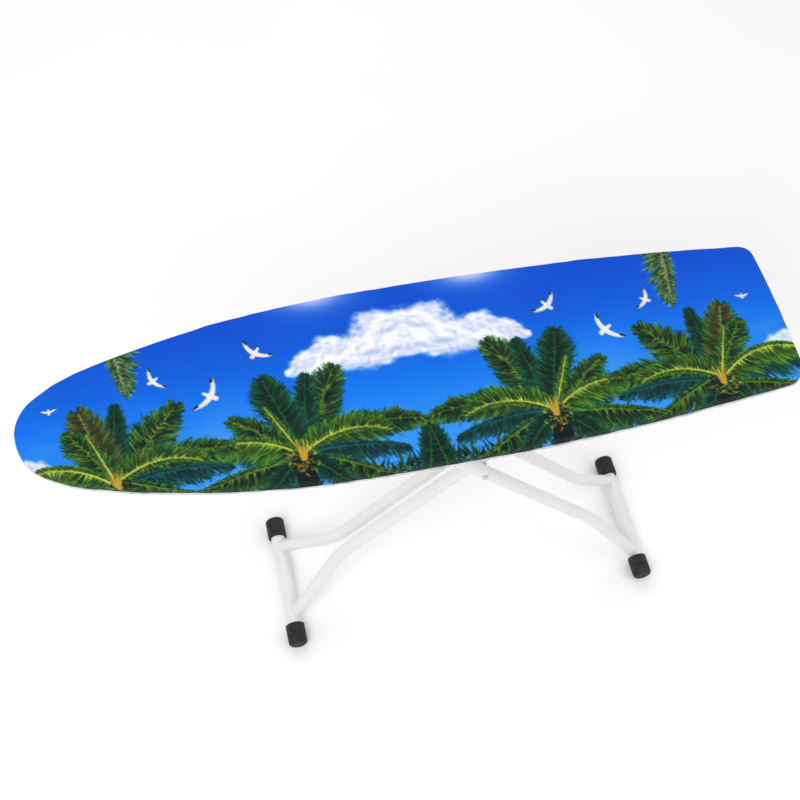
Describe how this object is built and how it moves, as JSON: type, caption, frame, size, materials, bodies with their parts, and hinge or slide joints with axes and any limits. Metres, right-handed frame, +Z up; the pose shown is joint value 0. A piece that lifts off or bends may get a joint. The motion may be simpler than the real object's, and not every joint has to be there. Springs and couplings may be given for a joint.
{
  "type": "folding ironing board",
  "caption": "Folding ironing board: long padded top with a rounded nose and a printed cover on crossed white tube legs, with a height rack and release lever.",
  "frame": {"origin": "on the floor under the middle of the ironing top", "axes": "+X towards the square tail, -X towards the rounded nose, +Y towards the far long side, +Z up"},
  "size_m": [1.11, 0.2994, 0.676],
  "materials": {
    "cover_print": "printed woven cotton, slightly satin",
    "hem_tape": "white elastic hem tape",
    "felt": "needled grey-white felt",
    "white_steel": "gloss white powder coat",
    "zinc_steel": "bright zinc plate",
    "black_rubber": "matt moulded rubber",
    "black_plastic": "fine grain moulding",
    "white_nylon": "natural nylon"
  },
  "bodies": {
    "board": {"bracket_rivets": "zinc_steel", "cover": "cover_print", "cross_rib_middle": "white_steel", "cross_rib_nose": "white_steel", "cross_rib_tail": "white_steel", "edge_rim": "white_steel", "felt_pad": "felt", "hem_binding": "hem_tape", "hinge_bracket_far": "white_steel", "hinge_bracket_near": "white_steel", "hinge_bush_far": "white_nylon", "hinge_bush_near": "white_nylon", "lever_lugs": "zinc_steel", "lever_pin": "zinc_steel", "lever_spring": "zinc_steel", "rack_rail_far": "white_steel", "rack_rail_near": "white_steel", "rail_rivets": "zinc_steel", "top_panel": "white_steel"},
    "inner_leg": {"hinge_axle": "zinc_steel", "hinge_axle_clips": "zinc_steel", "hinge_spacer_far": "white_nylon", "hinge_spacer_near": "white_nylon", "inner_leg_tube_far": "white_steel", "inner_leg_tube_near": "white_steel", "inner_tube_plug_far": "black_plastic", "inner_tube_plug_near": "black_plastic", "nose_foot_cap_far": "black_rubber", "nose_foot_cap_near": "black_rubber", "nose_foot_tube": "white_steel", "pivot_bolt": "zinc_steel", "pivot_nut": "zinc_steel", "pivot_spacer": "white_nylon", "pivot_washers": "white_nylon"},
    "outer_leg": {"outer_leg_tube_far": "white_steel", "outer_leg_tube_near": "white_steel", "outer_tube_plug_far": "black_plastic", "outer_tube_plug_near": "black_plastic", "rack_axle": "zinc_steel", "rack_axle_clips": "zinc_steel", "rack_bush_far": "white_nylon", "rack_bush_near": "white_nylon", "tail_foot_cap_far": "black_rubber", "tail_foot_cap_near": "black_rubber", "tail_foot_tube": "white_steel"},
    "height_lever": {"lever_flap": "zinc_steel", "lever_grip": "black_plastic", "lever_rod": "zinc_steel"}
  },
  "joints": [
    {"name": "leg_fold", "type": "hinge", "parent": "board", "child": "inner_leg", "pos_m": [0.326, 0, 0.63964], "axis": [0, 1, 0], "range_deg": [-18, 47.6]},
    {"name": "leg_cross", "type": "hinge", "parent": "inner_leg", "child": "outer_leg", "pos_m": [0.11925, 0, 0.39671], "axis": [0, 1, 0], "range_deg": [-95.2, 36]},
    {"name": "lever_squeeze", "type": "hinge", "parent": "board", "child": "height_lever", "pos_m": [0, -0.065, 0.65954], "axis": [-1, 0, 0], "range_deg": [0, 18], "stiffness_Nm_per_rad": 2, "springref_deg": -11.46}
  ],
  "couplings": [
    {"joint": "leg_cross", "follows": "leg_fold", "ratio": -2}
  ]
}
